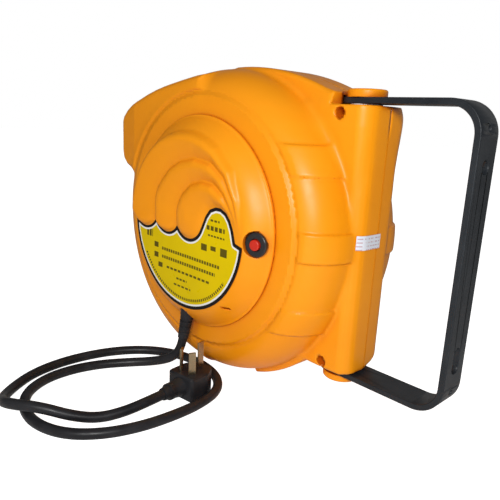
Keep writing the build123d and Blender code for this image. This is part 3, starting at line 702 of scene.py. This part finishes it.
def make_label():
    """Thin film on a fine grid, with the grid's border moved onto the outline."""
    step, left, bottom = 0.8, -80.0, -80.0
    u, v = np.meshgrid(np.arange(left, 80, step), np.arange(bottom, 24, step), indexing="ij")
    centre = LABEL(u + step / 2, v + step / 2) < -0.35 * step
    used = np.zeros((u.shape[0] + 1, u.shape[1] + 1), bool)
    for i in (0, 1):
        for j in (0, 1):
            used[i:u.shape[0] + i, j:u.shape[1] + j] |= centre
    number = np.full(used.shape, -1)
    number[used] = np.arange(used.sum())
    spots = np.argwhere(used)
    flat = np.array((left, bottom)) + spots * step
    rows, columns = centre.shape
    ring = [number[:rows, :columns], number[1:, :columns], number[1:, 1:], number[:rows, 1:]]
    faces = np.stack([corner[centre] for corner in ring], 1)
    edge_count = np.zeros(used.sum(), int)
    np.add.at(edge_count, faces.ravel(), 1)
    border = edge_count < 4
    for _ in range(4):
        p = flat[border]
        d = LABEL(p[:, 0], p[:, 1])
        gx = (LABEL(p[:, 0] + 0.3, p[:, 1]) - LABEL(p[:, 0] - 0.3, p[:, 1])) / 0.6
        gz = (LABEL(p[:, 0], p[:, 1] + 0.3) - LABEL(p[:, 0], p[:, 1] - 0.3)) / 0.6
        flat[border] = p - np.stack([gx, gz], 1) * np.clip(d, -step, step)[:, None]
    depth = np.where(border, 0, -LABEL(flat[:, 0], flat[:, 1]))
    count = len(flat)
    front = np.stack([flat[:, 0], np.full(count, -LABEL_Y - 0.35), flat[:, 1]], 1)
    back = front + (0, 0.33, 0)
    sides = []
    pairs = np.concatenate([faces[:, [a, (a + 1) % 4]] for a in range(4)])
    keys = {(a, b) for a, b in pairs.tolist()}
    for a, b in keys:
        if (b, a) not in keys:
            sides.append([b, a, a + count, b + count])
    all_faces = faces.tolist() + (faces[:, ::-1] + count).tolist() + sides
    mesh = bpy.data.meshes.new("rating_label_film")
    mesh.from_pydata((np.concatenate([front, back]) * MM + np.array(SPOOL)).tolist(), [], all_faces)
    for title, values in (("inset", depth), ("across", flat[:, 0]), ("up", flat[:, 1])):
        layer = mesh.attributes.new(title, "FLOAT", "POINT")
        layer.data.foreach_set("value", np.tile(values, 2).astype(np.float32))
    mesh.materials.append(label_print())
    piece = bpy.data.objects.new("rating_label_film", mesh)
    bpy.context.scene.collection.objects.link(piece)
    settle(piece, "housing", "label_film", "rating_label")


# ---------------------------------------------------------------- supply cord
CORD_D = 0.0088
# In millimetres from the frame's origin: down from the gland, round the loop and up to the plug.
CORD_ROUTE = [
    (-45, -76, 36), (-46.3, -77.3, 24), (-53, -83, 13), (-69, -94, 6.5), (-86, -113, 4.5),
    (-99, -137, 4.5), (-105, -164, 4.5), (-102, -191, 4.5), (-87, -214, 4.5), (-62, -226, 4.5),
    (-34, -227, 4.5), (-8, -216, 4.5), (10, -194, 4.5), (20, -166, 4.5), (23, -136, 4.5),
    (22, -107, 4.5), (14, -80, 4.5), (-6, -63, 4.5), (-33, -57, 4.5), (-61, -59, 4.5),
    (-86, -70, 4.5), (-106, -89, 4.5), (-119, -114, 4.5), (-125, -142, 4.5), (-125, -170, 4.5),
    (-118, -197, 4.5), (-103, -220, 4.5), (-81, -237, 9), (-56, -240, 17.5), (-36, -223, 17.5),
    (-21, -203, 9), (-11, -185, 5), (-4, -166, 7), (-0.3, -147, 10.5), (-2.5, -129, 10.5),
]


def make_cord(material):
    curve = bpy.data.curves.new("supply_flex", "CURVE")
    curve.dimensions = "3D"
    curve.bevel_depth = CORD_D / 2
    curve.bevel_resolution = 7
    curve.resolution_u = 10
    curve.use_fill_caps = True
    spline = curve.splines.new("NURBS")
    spline.points.add(len(CORD_ROUTE) - 1)
    for point, place in zip(spline.points, CORD_ROUTE):
        point.co = (*(v * MM for v in place), 1)
    spline.order_u = 3
    spline.use_endpoint_u = True
    curve.materials.append(material)
    flex = bpy.data.objects.new("supply_flex", curve)
    bpy.context.scene.collection.objects.link(flex)
    settle(flex, "housing", "cord_jacket", "supply_cord")


# ---------------------------------------------------------------- CAD nodes that stay
def soften(node, width):
    """Small rounded edges on a CAD node, by modifiers only."""
    piece = frame["nodes"][node]
    weld = piece.modifiers.new("weld", "WELD")
    weld.merge_threshold = 0.00001
    bevel = piece.modifiers.new("bevel", "BEVEL")
    bevel.width = width
    bevel.segments = 2
    bevel.limit_method = "ANGLE"
    bevel.angle_limit = math.radians(35)
    bevel.harden_normals = True


def dress_nodes(orange):
    """Materials for every CAD node, shown or inside."""
    steel = metal("zinc_steel", (0.60, 0.60, 0.62), 0.3)
    brass = metal("pin_brass", (0.46, 0.38, 0.24), 0.3)
    coat = powder_coat()
    black = plastic("black_moulding", (0.018, 0.018, 0.020), 0.32)
    soft_black = rubber("soft_black", (0.016, 0.016, 0.018), 0.5, 900)
    white = plastic("white_moulding", (0.78, 0.78, 0.75), 0.4)
    grey = plastic("grey_moulding", (0.12, 0.12, 0.13), 0.45)
    finishes = {
        "orange_cap": orange, "orange_cover": orange, "orange_shell": orange, "bracket_paint": coat,
        "screw_steel": steel, "shaft_steel": steel, "pawl_steel": steel, "screw_brass": brass,
        "pin_brass": brass, "black_plastic": black, "frame_black": black, "soft_black": soft_black,
        "plug_black": rubber("plug_rubber", (0.014, 0.014, 0.016), 0.38, 700),
        "cord_jacket": soft_black, "bush_white": white, "roller_white": white, "spool_grey": grey,
        "red_plastic": plastic("red_button", (0.62, 0.022, 0.006), 0.38),
        "cream_plastic": plastic("cream_block", (0.78, 0.74, 0.62), 0.45),
        "spring_steel": metal("blue_spring_steel", (0.35, 0.36, 0.40), 0.3),
        "insulator_brown": plastic("brown_insulator", (0.20, 0.10, 0.05), 0.4),
        "carbon": plastic("carbon", (0.05, 0.05, 0.05), 0.6),
        "sticker_paper": sticker_paper(),
    }
    for piece in frame["nodes"].values():
        for place in piece.material_slots:
            old = place.material.name if place.material else ""
            found = next((title for title in finishes if old.startswith(title)), None)
            if found:
                place.material = finishes[found]
    zinc = metal("yellow_zinc", (0.80, 0.36, 0.05), 0.55)
    for node in ("bush_screws", "housing_screws"):
        for place in frame["nodes"][node].material_slots:
            place.material = zinc
    edges = {
        "wall_bracket": 0.0007, "plug_body": 0.0012, "plug_pins": 0.0003, "upper_pivot_cap": 0.0005,
        "lower_pivot_cap": 0.0005, "supply_gland": 0.0004, "breaker_collar": 0.0004, "outlet_frame": 0.0006,
        "tension_cover": 0.0008,
    }
    for node, width in edges.items():
        soften(node, width)


def sticker_paper():
    """White paper seal with pale, plain printed bars."""
    shader = Shader("sticker_paper", (0.80, 0.83, 0.90), 0.5)
    sheet = shader.ramp(shader.noise(60, 3), [(0.3, (0.76, 0.79, 0.88)), (0.7, (0.84, 0.86, 0.92))])
    parts = shader.node("SeparateXYZ")
    shader.links.new(shader.place, parts.inputs["Vector"])
    rows = shader.math("FRACT", shader.math("MULTIPLY", parts.outputs["Z"], 330.0))
    rows = shader.math("LESS_THAN", rows, 0.34)
    words = shader.math("GREATER_THAN", shader.noise(700, 1, (1, 1, 0.05)), 0.47)
    ink = shader.math("MULTIPLY", shader.math("MULTIPLY", rows, words), 0.55)
    shader.paint(shader.mix(ink, sheet, (0.45, 0.12, 0.12)))
    shader.bump(shader.noise(500, 3), 0.05, 0.0002)
    return shader.material


# ---------------------------------------------------------------- studio
def area_light(name, place, size, power, target):
    data = bpy.data.lights.new(name, "AREA")
    data.size = size
    data.energy = power
    lamp = bpy.data.objects.new(name, data)
    lamp.location = place
    lamp.rotation_euler = (Vector(target) - Vector(place)).to_track_quat("-Z", "Y").to_euler()
    bpy.context.scene.collection.objects.link(lamp)


def make_world():
    """Surround that the camera sees white, while its light is dim, and dimmest from the sides."""
    world = bpy.data.worlds.new("studio")
    world.use_nodes = True
    nodes, links = world.node_tree.nodes, world.node_tree.links
    lit = nodes["Background"]
    lit.inputs["Strength"].default_value = 1.0
    direction, facing = nodes.new("ShaderNodeTexCoord"), nodes.new("ShaderNodeVectorMath")
    spread, tone = nodes.new("ShaderNodeMapRange"), nodes.new("ShaderNodeValToRGB")
    facing.operation = "DOT_PRODUCT"
    facing.inputs[1].default_value = (0.28, -0.90, 0.33)
    spread.inputs["From Min"].default_value = -1
    tone.color_ramp.elements[0].color = (0.42, 0.42, 0.42, 1)
    tone.color_ramp.elements[1].color = (0.34, 0.335, 0.33, 1)
    tone.color_ramp.elements.new(0.42).color = (0.03, 0.03, 0.03, 1)
    links.new(direction.outputs["Generated"], facing.inputs[0])
    links.new(facing.outputs["Value"], spread.inputs["Value"])
    links.new(spread.outputs["Result"], tone.inputs["Fac"])
    links.new(tone.outputs["Color"], lit.inputs["Color"])
    seen = nodes.new("ShaderNodeBackground")
    seen.inputs["Color"].default_value = (1, 1, 1, 1)
    path, choose = nodes.new("ShaderNodeLightPath"), nodes.new("ShaderNodeMixShader")
    links.new(path.outputs["Is Camera Ray"], choose.inputs["Fac"])
    links.new(lit.outputs["Background"], choose.inputs[1])
    links.new(seen.outputs["Background"], choose.inputs[2])
    links.new(choose.outputs["Shader"], nodes["World Output"].inputs["Surface"])
    bpy.context.scene.world = world
    bpy.context.scene.view_settings.view_transform = "Standard"


def make_floor():
    """Pale floor, lit to white for the camera only."""
    shader = Shader("paper_floor", (0.93, 0.93, 0.93), 0.85, specular=0.1)
    shader.paint(shader.ramp(shader.noise(3, 3), [(0.3, (0.92, 0.92, 0.92)), (0.7, (0.95, 0.95, 0.95))]))
    shader.out.inputs["Emission Color"].default_value = (1, 1, 1, 1)
    glow = shader.node("LightPath").outputs["Is Camera Ray"]
    shader.links.new(glow, shader.out.inputs["Emission Strength"])
    mesh = bpy.data.meshes.new("floor")
    reach, count = 6.0, 24
    line = np.linspace(-reach, reach, count + 1)
    grid = [(x, y, -0.0004) for x in line for y in line]
    faces = []
    for i in range(count):
        for j in range(count):
            a = i * (count + 1) + j
            faces.append((a, a + count + 1, a + count + 2, a + 1))
    mesh.from_pydata(grid, [], faces)
    mesh.materials.append(shader.material)
    floor = bpy.data.objects.new("floor", mesh)
    bpy.context.scene.collection.objects.link(floor)


# ---------------------------------------------------------------- build
make_camera()
make_cord(rubber("cord_jacket_rubber", (0.014, 0.014, 0.016), 0.36, 600))
orange_plastic = moulded_orange()
dress_nodes(orange_plastic)
make_housing(orange_plastic)
make_cover(orange_plastic)
make_label()
make_world()
area_light("key", (0.50, -0.61, 0.45), 0.25, 4.9, (0.05, 0, 0.16))
make_floor()
